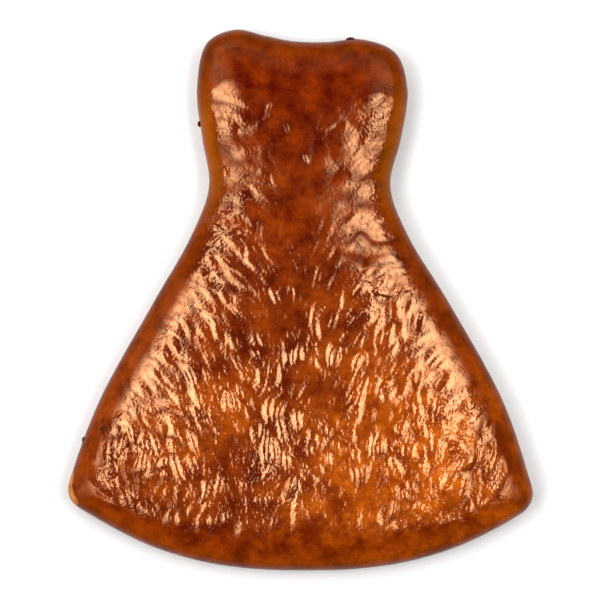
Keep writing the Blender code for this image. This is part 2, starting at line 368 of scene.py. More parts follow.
def wrinkle_strength(spots, depths):
    """How strongly the skin is wrinkled at each spot."""
    x, y = spots.T
    raster = Raster(COARSE_CELL)
    patches = np.clip(1.0 + PATCH_SHARE * raster.noise(PATCH_SEED, PATCH_SIZE), *PATCH_LIMITS)
    strength = raster.read(patches, spots)
    middle = 1 - np.clip(np.abs(x) / half_width(y), 0.0, 1.0) ** 2
    upper = ramp(CALM_FROM, CALM_TO, y)
    strength *= 1 + upper * (SIDE_FOLDS * (1 - middle) - CALM_BODICE * middle)
    strength *= 1 - CALM_MIDDLE * middle * (1 - upper)
    strength *= 1 - CALM_NECK_LOSS * ramp(*CALM_NECK, y)
    strength *= 1 + LOW_SKIRT_GAIN * ramp(*LOW_SKIRT, y)
    return strength * crinkled(spots, depths)


# %% Layers of wrinkles
WRINKLE_LAYERS = (  # cell of the raster, spacing, length, height, share left in the bodice, valley shade (how strongly its valleys get painted shade and less shine), seed
    (0.25, 2.1, 6.0, 0.12, 1.3, 1.0, 11),
    (0.2, 0.9, 4.2, 0.16, 0.35, 0.7, 12),
)
BODICE_FROM = 4.0  # heights between which the skirt turns into the bodice
BODICE_TO = 21.0
VALLEY_ROUNDING = 0.22  # both of these are shares of a layer's spread
VALLEY_WIDTH = 0.24


def wrinkles(spots, strength):
    """Height of the skin over the plain dough at each spot, and how deep in a valley the spot lies."""
    relief = np.zeros(len(spots))
    valley = np.zeros(len(spots))
    bodice = ramp(BODICE_FROM, BODICE_TO, spots[:, 1])
    for cell, spacing, length, height, left, valley_shade, seed in WRINKLE_LAYERS:
        raster = Raster(cell)
        swing = raster.read(smeared_blots(raster, seed, spacing, length), spots)
        relief += height * (1 - bodice + left * bodice) * np.sqrt(swing**2 + VALLEY_ROUNDING**2)
        # the valley share later darkens the colour: pooled glaze and painted shade in the creases
        valley = np.maximum(valley, valley_shade * np.exp(-((swing / VALLEY_WIDTH) ** 2)))
    return relief * strength, np.clip(valley * strength, 0.0, 1.0)


# %% [markdown]
# ## Cracks, folds and pits that can be pointed at
#
# A few marks are too particular for random layers: a split across the right hip where the crust tore,
# folds that run in at the waist, a pit where a bubble burst. Each is a stroke along a short route, either
# cut in or raised, and the cuts are also painted darker, as painted shade in them.

# %% Single marks in the skin
RAGGED = 0.22  # how far a mark strays from its route, over stretches of this length
RAGGED_LENGTH = 0.5
RAGGED_SEEDS = (31, 32)
RAGGED_CELL = 0.15
CUT_SHADE_DEPTH = 0.5  # a cut of this depth gets the full painted shade
MARKS = (  # route, half width, height
    (((13.4, 0.6), (15.2, 0.1), (17.4, 0.8), (19.2, 1.2)), 0.4, -0.25),
    (((12.5, 1.5), (15.2, 1.1), (17.6, 1.8), (20.0, 2.5)), 0.9, 0.2),
    (((-15.0, 3.4), (-14.2, 2.6), (-14.7, 1.9)), 0.35, -0.35),
    (((-17.3, 16.4), (-16.9, 15.9)), 0.35, -0.35),
    (((-11.4, 22.3), (-9.6, 22.1), (-7.6, 22.4)), 0.45, -0.07),
    (((-13.5, 25.8), (-12.0, 25.9), (-10.4, 26.2)), 0.45, -0.06),
    (((-14.4, 15.0), (-12.8, 14.9), (-11.5, 14.3)), 0.5, 0.2),
    (((-16.2, 13.4), (-13.0, 12.9), (-9.5, 11.8)), 0.7, 0.25),
    (((8.7, 21.9), (10.5, 21.9), (12.5, 21.6)), 0.7, 0.1),
    (((9.0, 12.4), (12.0, 12.8), (16.0, 13.6)), 0.5, -0.15),
    (((9.5, 9.2), (13.0, 9.8), (17.5, 10.9)), 0.5, -0.17),
    (((10.5, 5.9), (14.0, 6.5), (18.5, 7.7)), 0.5, -0.17),
    (((11.5, 3.7), (15.0, 4.3), (19.5, 5.3)), 0.4, -0.14),
    (((-16.6, 12.4), (-13.0, 11.9), (-9.3, 10.7)), 0.45, -0.15),
    (((-18.0, 9.3), (-14.5, 9.0), (-10.2, 7.7)), 0.45, -0.15),
    (((-34.0, -17.0), (-33.9, -17.3)), 0.3, -0.35),
    (((-35.0, -21.1), (-34.9, -21.4)), 0.25, -0.35),
    (((-34.6, -22.6), (-34.5, -23.1)), 0.3, -0.35),
    (((-7.5, -44.2), (-7.2, -44.4)), 0.3, -0.3),
    (((-7.6, 36.6), (-6.3, 35.8)), 0.26, 0.1),
    (((-5.2, 34.3), (-6.3, 32.2)), 0.28, 0.12),
    (((-3.0, 30.4), (-2.4, 29.2)), 0.3, 0.12),
    (((6.2, 35.9), (6.9, 35.5)), 0.28, 0.1),
    (((4.6, 30.2), (6.2, 31.3), (7.8, 30.6)), 0.5, 0.14),
    (((1.0, 25.0), (1.4, 24.4)), 0.35, 0.12),
    (((-4.9, 21.6), (-3.4, 20.0)), 0.3, 0.14),
)


def distance_to_route(spots, route):
    """How far each spot lies from a route of straight stretches."""
    nearest = np.full(len(spots), np.inf)
    for start, end in zip(np.array(route[:-1]), np.array(route[1:])):
        stretch = end - start
        share = np.clip((spots - start) @ stretch / (stretch @ stretch), 0.0, 1.0)
        away = spots - start - share[:, None] * stretch
        nearest = np.minimum(nearest, np.hypot(away[:, 0], away[:, 1]))
    return nearest


def marked(spots):
    """Height that the single marks add, and how much painted shade each spot gets for lying in a cut."""
    relief = np.zeros(len(spots))
    dark = np.zeros(len(spots))
    raster = Raster(RAGGED_CELL)
    astray = [raster.read(raster.noise(seed, RAGGED_LENGTH), spots) for seed in RAGGED_SEEDS]
    ragged = spots + RAGGED * np.stack(astray, 1)
    for route, reach, height in MARKS:
        swell = np.exp(-((distance_to_route(ragged, route) / reach) ** 2))
        relief += height * swell
        # cuts get painted shade, the deeper the darker
        dark = np.maximum(dark, swell * ramp(0.0, CUT_SHADE_DEPTH, -height))
    return relief, dark


print("marks:", len(MARKS), "of which cut in:", sum(height < 0 for _, _, height in MARKS))

# %% [markdown]
# ## How thick the glaze lies
#
# A pastry brush lays the glaze on unevenly. It pooled on the skirt, and is thin along the rim, at the
# neckline and in bands across the waist and the bodice where a fold kept the bristles off. Thick glaze
# shines and thin glaze hardly does, so this one value per vertex breaks up the shine later on. An
# attribute is used, and not a painted image, because it follows the mesh and its places stay measurable.

# %% Thick and thin glaze
GLOSS_END = 38.2  # height in the bodice where the thick glaze ends, at the sides
GLOSS_TILT = 0.1  # how much lower it ends for each millimetre to the right
GLOSS_DIP = 4.0  # how much lower it ends in the middle, and how far to each side that reaches
GLOSS_DIP_HALF = 14.0
GLOSS_FADE = 2.0
GLOSS_WAVES = 1.2
GLOSS_SEED = 21
BODICE_DULL = 0.2  # share of the glaze that the bodice lacks everywhere
BRISTLE_SIZE = 0.8  # uneven strokes of the brush, drawn out across the bodice
BRISTLE_SQUEEZE = (0.45, 1.0)
BRISTLE_RANGE = (-1.0, 1.8)
BRISTLE_SHARE = 0.6  # share of the glaze that the thinnest of them lack
BRISTLE_ABOVE = (0.0, 14.0)  # heights between which they set in
BRISTLE_SEED = 23
THIN_GLAZE = (  # middle, half size and share of the glaze that the brush left off
    ((12.0, 10.4), (5.0, 0.55), 0.85),
    ((11.5, 7.9), (4.6, 0.8), 0.85),
    ((11.5, 16.2), (5.0, 0.9), 0.6),
    ((13.0, 22.6), (4.0, 0.8), 0.5),
    ((-14.5, 17.0), (5.0, 0.9), 0.5),
    ((-9.5, 24.5), (4.0, 1.1), 0.6),
    ((-9.0, 28.5), (4.0, 0.8), 0.5),
)
THIN_WAVES = 1.2  # the bands waver by about half a millimetre
THIN_SWAY = 0.5
THIN_SEED = 22


def glaze_thickness(spots, depths):
    """How thick the glaze lies at each spot, from 0 to 1."""
    x, y = spots.T
    raster = Raster(COARSE_CELL)
    end = GLOSS_END - GLOSS_TILT * x - GLOSS_DIP * np.clip(1 - (x / GLOSS_DIP_HALF) ** 2, 0, 1)
    end += raster.read(raster.noise(GLOSS_SEED, GLOSS_WAVES), spots)
    thick = crinkled(spots, depths)
    thick *= 1 - BODICE_DULL * ramp(BODICE_FROM, BODICE_TO, y)
    thick *= 1 - ramp(-GLOSS_FADE, GLOSS_FADE, y - end)
    strokes = raster.read(raster.noise(BRISTLE_SEED, BRISTLE_SIZE), spots * BRISTLE_SQUEEZE)
    thick *= 1 - BRISTLE_SHARE * ramp(*BRISTLE_ABOVE, y) * ramp(*BRISTLE_RANGE, strokes)
    sway = THIN_SWAY * raster.read(raster.noise(THIN_SEED, THIN_WAVES), spots)
    for (middle_x, middle_y), (half_wide, half_long), share in THIN_GLAZE:
        away = ((x - middle_x) / half_wide) ** 2 + ((y + sway - middle_y) / half_long) ** 2
        thick *= 1 - share * np.exp(-away)
    return thick


# %% [markdown]
# ## Laying the skin
#
# The mesh starts as a flat grid. Its four sides are laid on the hem, the two side seams and the neckline,
# and everything between is blended from them, which is called a Coons patch. The loops of faces then
# follow the dress instead of being cut off at its edge. Rings extruded from its border make the shoulder
# and the foot, and a second, coarser grid closes the underside.

# %% Where the grid's points go
BOW_FADE = 3.0  # the power by which the bow of the hem fades out above it, and the neckline's below it
RIM_CROWDING = 0.2  # 0 would space the rows evenly, and 1 would crowd them most towards the border


def place_on(side, share):
    return side[0] + (side[1] - side[0]) * share


def patch_sides():
    """Where the four sides of the patch lie on the outline, as (start, end) places."""
    start_left = outline.place_of(*HEM_CORNER_LEFT)
    start_right = outline.place_of(*HEM_CORNER_RIGHT)
    end_right = outline.place_of(SHOULDER_RIGHT)
    end_left = outline.place_of(SHOULDER_LEFT)
    return {
        "hem": (start_left, start_right),
        "right": (start_right - 1, end_right),
        "neck": (end_left, end_right),
        "left": (start_left, end_left),
    }


def patch_points(sides, inset, u, v):
    """The points at u across and v up: straight rows between the side seams, bowed like the hem and the
    neckline near them. The bow fades faster than in a plain Coons patch, which would fold at the waist."""
    left, right = (outline.at(place_on(sides[side], v), inset) for side in ("left", "right"))
    points = (1 - u)[:, None] * left + u[:, None] * right
    for row, share in (("hem", 1 - v), ("neck", v)):
        start, end = (outline.at(place_on(sides[row], corner), inset) for corner in (0.0, 1.0))
        bow = outline.at(place_on(sides[row], u), inset) - (1 - u)[:, None] * start - u[:, None] * end
        points += (share**BOW_FADE)[:, None] * bow
    return points


def crowded(share):
    """A share from 0 to 1, with the steps closer together near both ends."""
    return (1 - RIM_CROWDING) * share + RIM_CROWDING * (1 - np.cos(math.pi * share)) / 2


def border_places(sides, u, v):
    """The place on the outline of points on the patch's border."""
    found = place_on(sides["left"], v)
    found = np.where(u > 1 - TINY, place_on(sides["right"], v), found)
    found = np.where(v < TINY, place_on(sides["hem"], u), found)
    found = np.where(v > 1 - TINY, place_on(sides["neck"], u), found)
    return np.mod(found, 1.0)


# %% A grid laid over the dress
GRID_DIGITS = 6  # the grid's corners are rounded to these, so that its border lies at exactly 0 and 1


def lay_grid(bm, sides, columns, rows, inset, place_layer):
    """Adds a grid laid over the dress at height 0. Returns its vertices and their spots."""
    made = bmesh.ops.create_grid(bm, x_segments=columns, y_segments=rows, size=0.5)["verts"]
    flat = np.array([vert.co.xy for vert in made]).round(GRID_DIGITS) + 0.5
    u, v = crowded(flat[:, 0]), crowded(flat[:, 1])
    for vert, place in zip(made, border_places(sides, u, v)):
        vert[place_layer] = place
    return made, patch_points(sides, inset, u, v)


def border_of(verts):
    """The open edges between these vertices, in an order that is the same each run, as a set's isn't."""
    chosen = set(verts)
    edges = dict.fromkeys(edge for vert in verts for edge in vert.link_edges if edge.is_boundary)
    return [edge for edge in edges if edge.verts[0] in chosen and edge.verts[1] in chosen]


# %% The wrinkled top
ACROSS = 240
ALONG = 300


def lay_top(bm, sides, layers, inset):
    """The fine grid on top, lifted to the wrinkled skin, with its values for the finish."""
    top, spots = lay_grid(bm, sides, ACROSS, ALONG, inset, layers["outline_place"])
    depths = depths_from_edge(spots)
    strength = wrinkle_strength(spots, depths)
    relief, valley = wrinkles(spots, strength)
    # dark is the painted shade in the cuts
    marks, dark = marked(spots)
    heights = dough_height(depths) + relief + marks
    for vert, (x, y), z in zip(top, spots, heights):
        vert.co = (x * MM, y * MM, z * MM)
    thick = glaze_thickness(spots, depths)
    for name, values in (("crease", valley), ("scorch_and_cut_shade", dark), ("skin", strength), ("gloss", thick)):
        for vert, value in zip(top, values):
            vert[layers[name]] = value
    return top


# %% [markdown]
# ## The side and the foot
#
# Past the grid's border the surface turns down over the rounded edge to the widest line, and from there
# tucks in to a small flat foot, where the dough stood on the tray. Extruding the open border ring by ring
# keeps each ring at its own depth and height. A bevel on a plain slab would round the edge too, but its
# section would be the same circle at the top and at the bottom.

# %% Rings down the side
RIM_DEPTH = 1.2  # of the rings between the widest line and the grid
RIM_RINGS = 7
FOOT_RINGS = 5


def rim_inset(ring):
    """How far a ring of the rim lies from the widest line, where ring 0 is."""
    return RIM_DEPTH * (1 - math.cos(math.pi / 2 * ring / RIM_RINGS))


def add_ring(bm, edges, place_layer, inset, height=None):
    """Extrudes the loop of edges once, and carries the new loop to its inset and to a height, which is
    the risen dough's where none is given."""
    made = bmesh.ops.extrude_edge_only(bm, edges=edges)["geom"]
    verts = [item for item in made if isinstance(item, bmesh.types.BMVert)]
    points = outline.at(np.array([vert[place_layer] for vert in verts]), inset)
    if height is None:
        height = dough_height(inset)
    for vert, (x, y) in zip(verts, points):
        vert.co = (x * MM, y * MM, height * MM)
    return [item for item in made if isinstance(item, bmesh.types.BMEdge) and item.is_boundary]


def lay_side(bm, top, place_layer):
    """The rings from the top's border down to the tray. Returns the open edges of the last one."""
    edges = border_of(top)
    for ring in reversed(range(RIM_RINGS)):
        edges = add_ring(bm, edges, place_layer, rim_inset(ring))
    for ring in range(1, FOOT_RINGS + 1):
        angle = math.pi / 2 * ring / FOOT_RINGS
        inset = FOOT_INSET * (1 - math.cos(angle))
        edges = add_ring(bm, edges, place_layer, inset, WIDEST_Z * (1 - math.sin(angle)))
    return edges


# %% [markdown]
# ## Crumbs on the edge
#
# Three crumbs of dough were left on the tray and scorched onto the biscuit's edge. At about a millimetre
# each, a flattened icosphere is all that shows. It has few faces, and no poles to pinch as a UV sphere has.

# %% Scorched crumbs
CRUMBS = (  # middle, and half the size
    ((-17.75, 30.9, 2.9), (0.35, 0.55, 0.45)),
    ((8.8, 45.75, 3.3), (0.85, 0.4, 0.4)),
    ((-38.0, -24.6, 3.1), (0.4, 0.6, 0.45)),
)


def add_crumbs(bm, scorch_and_shade_layer):
    for middle, half_size in CRUMBS:
        shape = Matrix.LocRotScale(Vector(middle) * MM, None, Vector(half_size) * MM)
        crumb = bmesh.ops.create_icosphere(bm, subdivisions=2, radius=1.0, matrix=shape)["verts"]
        # the crumbs are truly scorched; the same value paints shade into the cuts
        for vert in crumb:
            vert[scorch_and_shade_layer] = 1.0


# %% The whole biscuit
BASE_ACROSS = 60  # the flat underside needs few faces
BASE_ALONG = 75
BASE_INSET = 1.6


def make_cookie():
    """The whole biscuit as one mesh, with its relief and the values that finish it."""
    sides = patch_sides()
    bm = bmesh.new()
    names = ("outline_place", "crease", "scorch_and_cut_shade", "skin", "gloss")
    layers = {name: bm.verts.layers.float.new(name) for name in names}
    place_layer = layers["outline_place"]
    top = lay_top(bm, sides, layers, rim_inset(RIM_RINGS))
    foot = lay_side(bm, top, place_layer)
    base, spots = lay_grid(bm, sides, BASE_ACROSS, BASE_ALONG, BASE_INSET, place_layer)
    for vert, (x, y) in zip(base, spots):
        vert.co = (x * MM, y * MM, 0.0)
    bmesh.ops.bridge_loops(bm, edges=foot + border_of(base))
    add_crumbs(bm, layers["scorch_and_cut_shade"])
    bm.verts.layers.float.remove(place_layer)  # last, because it shifts the other layers
    bmesh.ops.recalc_face_normals(bm, faces=bm.faces)
    mesh = bpy.data.meshes.new("glazed_gingerbread")
    bm.to_mesh(mesh)
    bm.free()
    mesh.shade_smooth()
    return mesh


cookie_mesh = make_cookie()
cookie = bpy.data.objects.new("glazed_gingerbread", cookie_mesh)
bpy.context.scene.collection.objects.link(cookie)
cookie_mesh.calc_loop_triangles()
print("skin:", len(cookie_mesh.loop_triangles), "triangles")

# %% [markdown]
# ## How deeply each place browned
#
# The oven left its own pattern: a dark bodice, a skirt that gets warmer towards its low right corner, and a
# golden line along the rim of the bodice where the thin edge was heated from two sides. Part of the warmth
# low on the right is a painted glow, where the right-hand light falls broadly on the skirt. The glaze ends
# low on the side, and the brush missed a strip at the left corner of the hem. These too are written on the
# mesh as attributes, which the material reads in the next steps.

# %% Where the glaze reaches
GLAZE_FOOT = (0.6, 3.2)  # heights between which the glaze sets in on the side
BARE_STRIP = ((-40.6, -30.4), (-40.9, -33.0), (-39.8, -35.5))  # where the brush missed the widest line
BARE_HALF_WIDTH = 0.8
BARE_LOSS = 1.2  # over 1, so that the middle of the strip is quite bare


def glaze_reach(x, y, z):
    bare = distance_to_route(np.stack([x, y], 1), BARE_STRIP)
    return ramp(*GLAZE_FOOT, z) - BARE_LOSS * np.exp(-((bare / BARE_HALF_WIDTH) ** 2))


# %% Warm brown, a painted glow on the right, and the golden rim
WARMER_DOWN = ((0.1, 32.0, 20.0), (0.26, 14.0, -12.0))  # share, and the heights it sets in between
WARM_SKIRT = (-6.0, -30.0)
WARM_LEFT = 0.25  # share low on the left of the skirt, and what its right adds, partly as a painted glow where the right-hand light falls
WARM_AND_GLOW_RIGHT = 0.8
RIGHT_SIDE = (-5.0, 38.0)
WARM_INBOARD = (2.5, 10.5)  # depths between which the warmth sets in, and the share of it at the rim
WARM_AT_RIM = 0.25
RIM_WIDTH = (0.5, 4.5)  # depths between which the golden rim fades out
RIM_IN_SKIRT = 0.25  # its share in the skirt, and the heights between which it becomes a whole one
RIM_IN_BODICE = (10.0, 24.0)
RIM_NECK = (32.0, 40.0)
RIM_NECK_LOSS = 0.7


def toasted_share(x, y, depths):
    """How far the dark brown gives way to the warm one."""
    warm = sum(share * ramp(start, end, y) for share, start, end in WARMER_DOWN)
    # the right-hand share is partly real warmth and partly a painted glow from the right-hand light
    warm = warm + ramp(*WARM_SKIRT, y) * (WARM_LEFT + WARM_AND_GLOW_RIGHT * ramp(*RIGHT_SIDE, x))
    return warm * (WARM_AT_RIM + (1 - WARM_AT_RIM) * ramp(*WARM_INBOARD, depths))


def rim_share(y, depths):
    """How golden each place is for lying at the rim."""
    bodice = RIM_IN_SKIRT + (1 - RIM_IN_SKIRT) * ramp(*RIM_IN_BODICE, y)
    return (1 - ramp(*RIM_WIDTH, depths)) * bodice * (1 - RIM_NECK_LOSS * ramp(*RIM_NECK, y))


# %% The way the skin was drawn
DRAWN_ACROSS = 1.0  # how much a thread is stretched across and along in the skirt; the bodice swaps them
DRAWN_ALONG = 0.5
DRAWN_STEPS = 200
FAN = 0.0067  # how the threads spread towards the neck, per millimetre


def drawn_coordinates(x, y):
    """Coordinates in which the threads are round blots: squeezed along the way the skin was drawn."""
    steps = np.linspace(HEM_Y, NECK_Y, DRAWN_STEPS)
    upper = ramp(LEAN_FROM, LEAN_TO, steps)
    long = DRAWN_ALONG + (DRAWN_ACROSS - DRAWN_ALONG) * upper
    wide = DRAWN_ACROSS + (DRAWN_ALONG - DRAWN_ACROSS) * upper
    along = np.cumsum(long) * (steps[1] - steps[0])
    across = x * np.interp(y, steps, wide) / (1 + FAN * (y - LEAN_FROM))
    return across, np.interp(y, steps, along)


# %% Writing them on the mesh
def add_finish_marks(mesh):
    flat = np.empty(len(mesh.vertices) * 3)
    mesh.vertices.foreach_get("co", flat)
    x, y, z = (flat.reshape(-1, 3) / MM).T
    drawn = np.stack([*drawn_coordinates(x, y), z], 1) * MM
    mesh.attributes.new("drawn", "FLOAT_VECTOR", "POINT").data.foreach_set("vector", drawn.ravel())
    depths = depths_from_edge(np.stack([x, y], 1))
    marks = {
        "glaze": glaze_reach(x, y, z),
        "toasted": toasted_share(x, y, depths),
        "rim": rim_share(y, depths),
    }
    for name, values in marks.items():
        mesh.attributes.new(name, "FLOAT", "POINT").data.foreach_set("value", values.astype(np.float32))


add_finish_marks(cookie_mesh)
print("attributes:", [item.name for item in cookie_mesh.attributes if not item.is_internal])

# %% [markdown]
# ## Finishes
#
# Every colour is written as the hex value that a colour picker shows, and one function turns it into the
# linear light that Blender's shaders work in. Another adds a node with its settings and links, and the
# four kinds that come back again and again each have a short function of their own.

# %% Colour and node helpers
def picked(hex_value):
    """An sRGB hex colour as a linear RGBA value."""
    channels = [int(hex_value[i : i + 2], 16) / 255 for i in (1, 3, 5)]
    linear = [c / 12.92 if c <= 0.04045 else ((c + 0.055) / 1.055) ** 2.4 for c in channels]
    return (*linear, 1.0)


def add(tree, kind, settings=None, inputs=None):
    """Adds a node; settings are its own properties, and inputs its sockets' values or links."""
    node = tree.nodes.new(kind)
    for name, value in (settings or {}).items():
        setattr(node, name, value)
    for name, value in (inputs or {}).items():
        if isinstance(value, bpy.types.NodeSocket):
            tree.links.new(value, node.inputs[name])
        else:
            node.inputs[name].default_value = value
    return node


def attribute(tree, name, output="Fac"):
    """A value that was written on the mesh."""
    return add(tree, "ShaderNodeAttribute", {"attribute_name": name}).outputs[output]


def noise(tree, where, size, detail, roughness=0.5):
    """Noise with blots of about this size."""
    inputs = {"Vector": where, "Scale": 1 / size, "Detail": detail, "Roughness": roughness}
    return add(tree, "ShaderNodeTexNoise", inputs=inputs).outputs["Fac"]


def ranged(tree, value, ends):
    """The value moved from one range to another. Each end that isn't given is 0 or 1."""
    return add(tree, "ShaderNodeMapRange", inputs={"Value": value, **ends}).outputs["Result"]


def counted(tree, operation, *values):
    """The result of a sum, product or the like of values or links."""
    return add(tree, "ShaderNodeMath", {"operation": operation}, dict(enumerate(values))).outputs[0]


def mixed(tree, share, first, second):
    """Two colours mixed, with this share of the second. A Mix node has its colours at 6 and 7."""
    inputs = {0: share, 6: first, 7: second}
    return add(tree, "ShaderNodeMix", {"data_type": "RGBA"}, inputs).outputs[2]


# %% [markdown]
# ## The colour of the crust
#
# Honey gingerbread browns unevenly: where the skin stood proud of the sheet and dried first it is dark
# red brown, and where it stayed moist it is orange brown. Noise textures give such blots, because they
# have no edges and no rhythm. Three sizes of them are laid over each other, the largest for the oven's
# uneven heat and the smallest for the grain of the flour and spice.

# %% Two browns in blots
BLOT_SIZE = 3.8 * MM
BLOT_EDGES = {"From Min": 0.36, "From Max": 0.64}
CLOUD_SIZE = 16.0 * MM
CLOUD_EDGES = {"From Min": 0.3, "From Max": 0.6}
DARK_BROWNS = ("#370401", "#611e02")
WARM_BROWNS = ("#6c2602", "#a04a06")


def browned(tree, where):
    """Blots of two browns: dark ones in the bodice, and warm ones as the skirt is toasted."""
    shade = ranged(tree, noise(tree, where, BLOT_SIZE, detail=4.0, roughness=0.6), BLOT_EDGES)
    clouds = ranged(tree, noise(tree, where, CLOUD_SIZE, detail=2.0), CLOUD_EDGES)
    warmth = counted(tree, "MULTIPLY", attribute(tree, "toasted"), clouds)
    browns = (DARK_BROWNS, WARM_BROWNS)
    dark, warm = (mixed(tree, shade, picked(low), picked(high)) for low, high in browns)
    return mixed(tree, warmth, dark, warm)


# %% Flecks, golden rim, scorched crumbs, and painted shade in creases and cuts
FLECK_SIZE = 0.9 * MM  # ground spice is nearer 0.3 mm, and is drawn coarser so that it shows
FLECK_EDGES = {"From Min": 0.45, "From Max": 0.75, "To Max": 0.5}
SPICE_BROWN = "#470c01"
RIM_GOLD = "#a45808"
RIM_SHARE = 0.34
# pooled glaze and painted shade in the wrinkles' valleys
CREASE_SHADE_BROWN = "#3f0c01"
CREASE_SHADE_SHARE = 0.4
# truly scorched crumbs, and painted shade in the cuts
SCORCH_AND_SHADE_BROWN = "#200801"


def crust_colour(tree, where):
    """The browned crust, with what lies on it and in it, and painted shade in its creases and cuts."""
    flecks = ranged(tree, noise(tree, where, FLECK_SIZE, detail=3.0), FLECK_EDGES)
    crust = mixed(tree, flecks, browned(tree, where), picked(SPICE_BROWN))
    for name, most, colour in (
        ("rim", RIM_SHARE, RIM_GOLD),
        ("crease", CREASE_SHADE_SHARE, CREASE_SHADE_BROWN),
        ("scorch_and_cut_shade", 1.0, SCORCH_AND_SHADE_BROWN),
    ):
        share = counted(tree, "MULTIPLY", attribute(tree, name), most)
        crust = mixed(tree, share, crust, picked(colour))
    return crust


# %% [markdown]
# ## Where the glaze ends
#
# The brush reaches a little way down the side, and its edge there is ragged. Below it the bare crumb is
# paler and quite matt. An attribute on the mesh says how far the glaze reaches, and noise breaks the edge.

# %% The reach of the glaze
BRUSH_RAGGED = 1.6 * MM
BRUSH_STRAY = {"To Min": -0.25, "To Max": 0.25}
BRUSH_EDGE = {"From Min": 0.42, "From Max": 0.58}


def glaze_share(tree, where):
    """1 where the crust is glazed and 0 where the crumb is bare."""
    ragged = ranged(tree, noise(tree, where, BRUSH_RAGGED, detail=3.0), BRUSH_STRAY)
    return ranged(tree, counted(tree, "ADD", attribute(tree, "glaze"), ragged), BRUSH_EDGE)


# %% The bare crumb
SPECK_SIZE = 1.1 * MM
SPECK_EDGES = {"From Min": 0.35, "From Max": 0.7}
CRUMB_PALE = "#a8683a"
CRUMB_SPECK = "#7d4318"


def crumb_colour(tree, where):
    """The bare crumb's colour, speckled with spice."""
    specks = ranged(tree, noise(tree, where, SPECK_SIZE, detail=4.0), SPECK_EDGES)
    return mixed(tree, specks, picked(CRUMB_PALE), picked(CRUMB_SPECK))


# %% [markdown]
# ## The finest wrinkles
#
# Under about half a millimetre the mesh is too coarse to carry the skin's texture, and a bump is enough,
# because nothing so small shows in the outline or throws a shadow. Threads are the finest wrinkles of
# the drawn skin, and grit is the flour that lies just under it. Both fade out on the smooth bands.

# %% Bump of the skin
THREAD_SIZE = 0.8 * MM
THREAD_HEIGHT = 0.1 * MM
GRIT_SIZE = 0.5 * MM  # flour grit is nearer 0.2 mm, and is drawn coarser so that it shows
GRIT_HEIGHT = 0.07 * MM


def skin_bump(tree, where):
    """The bumped normal, as strong as the skin is wrinkled."""
    skin = attribute(tree, "skin")
    threads = noise(tree, attribute(tree, "drawn", "Vector"), THREAD_SIZE, detail=1.0)
    threads = counted(tree, "ABSOLUTE", counted(tree, "SUBTRACT", threads, 0.5))
    threads = counted(tree, "MULTIPLY", threads, counted(tree, "MULTIPLY", skin, THREAD_HEIGHT))
    grit = noise(tree, where, GRIT_SIZE, detail=0.0)
    grit = counted(tree, "MULTIPLY", grit, counted(tree, "MULTIPLY", skin, GRIT_HEIGHT))
    relief = {"Height": counted(tree, "ADD", grit, threads), "Distance": 1.0}
    return add(tree, "ShaderNodeBump", inputs=relief).outputs["Normal"]


# %% [markdown]
# ## Egg-glazed honey gingerbread
#
# The glaze is a thin layer of egg and honey, brushed on and baked. Dried egg and sugar both have an index
# of refraction near 1.5, and several glossy coats shine a little more than that, so the value here is
# higher. It is smooth like varnish, satin rather than wet because it dried in the oven, and amber, so what
# comes back off it is golden: the tint of the highlights tells the eye that this is honey. Thin glaze,
# creases and the bare crumb shine less and scatter more.

# %% How the glaze shines
GLAZE_IOR = 1.7
GLAZE_AMBER = "#ffbe88"
GLAZE_LEVEL = 0.95  # the specular level of thick glaze, in creases, and where there is next to none
CREASE_LEVEL = 0.15
THIN_LEVEL = 0.06
THIN_BELOW = 0.3  # thickness below which the glaze no longer shines
GLAZE_ROUGHNESS = {"To Min": 0.1, "To Max": 0.16}
THIN_ROUGHNESS = 0.05  # added where the glaze is thin
CRUMB_ROUGHNESS = 0.8
SATIN_SIZE = 1.5 * MM
SATIN_EDGES = {"From Min": 0.3, "From Max": 0.7}


def glaze_roughness(tree, where, glazed, thick):
    """Uneven satin on the glaze, a little rougher where it is thin, and the matt crumb beside it."""
    satin = noise(tree, where, SATIN_SIZE, detail=2.0)
    satin = ranged(tree, satin, {**SATIN_EDGES, **GLAZE_ROUGHNESS})
    rough = ranged(tree, glazed, {"To Min": CRUMB_ROUGHNESS, "To Max": satin})
    thin = counted(tree, "MULTIPLY_ADD", thick, -THIN_ROUGHNESS, THIN_ROUGHNESS)
    return counted(tree, "ADD", rough, thin)


def glaze_level(tree, thick):
    """The specular level: full on thick glaze, low in creases, and almost nothing on thin glaze."""
    level = ranged(tree, attribute(tree, "crease"), {"To Min": GLAZE_LEVEL, "To Max": CREASE_LEVEL})
    return ranged(tree, thick, {"From Min": THIN_BELOW, "To Min": THIN_LEVEL, "To Max": level})


# %% The finished material
def glazed_gingerbread():
    """Deep mottled browns under sharp golden highlights, broken up by the wrinkles."""
    material = bpy.data.materials.new("egg_glazed_honey_gingerbread")
    material.use_nodes = True
    tree = material.node_tree
    shader = tree.nodes["Principled BSDF"]
    where = add(tree, "ShaderNodeTexCoord").outputs["Object"]
    glazed = glaze_share(tree, where)
    thick = attribute(tree, "gloss")
    colour = mixed(tree, glazed, crumb_colour(tree, where), crust_colour(tree, where))
    tree.links.new(colour, shader.inputs["Base Color"])
    tree.links.new(glaze_roughness(tree, where, glazed, thick), shader.inputs["Roughness"])
    tree.links.new(glaze_level(tree, thick), shader.inputs["Specular IOR Level"])
    tree.links.new(skin_bump(tree, where), shader.inputs["Normal"])
    shader.inputs["IOR"].default_value = GLAZE_IOR
    shader.inputs["Specular Tint"].default_value = picked(GLAZE_AMBER)
    return material


gingerbread = glazed_gingerbread()
cookie_mesh.materials.append(gingerbread)
print("gingerbread:", len(gingerbread.node_tree.nodes), "nodes")
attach(cookie, "root")
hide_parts(DOUGH)
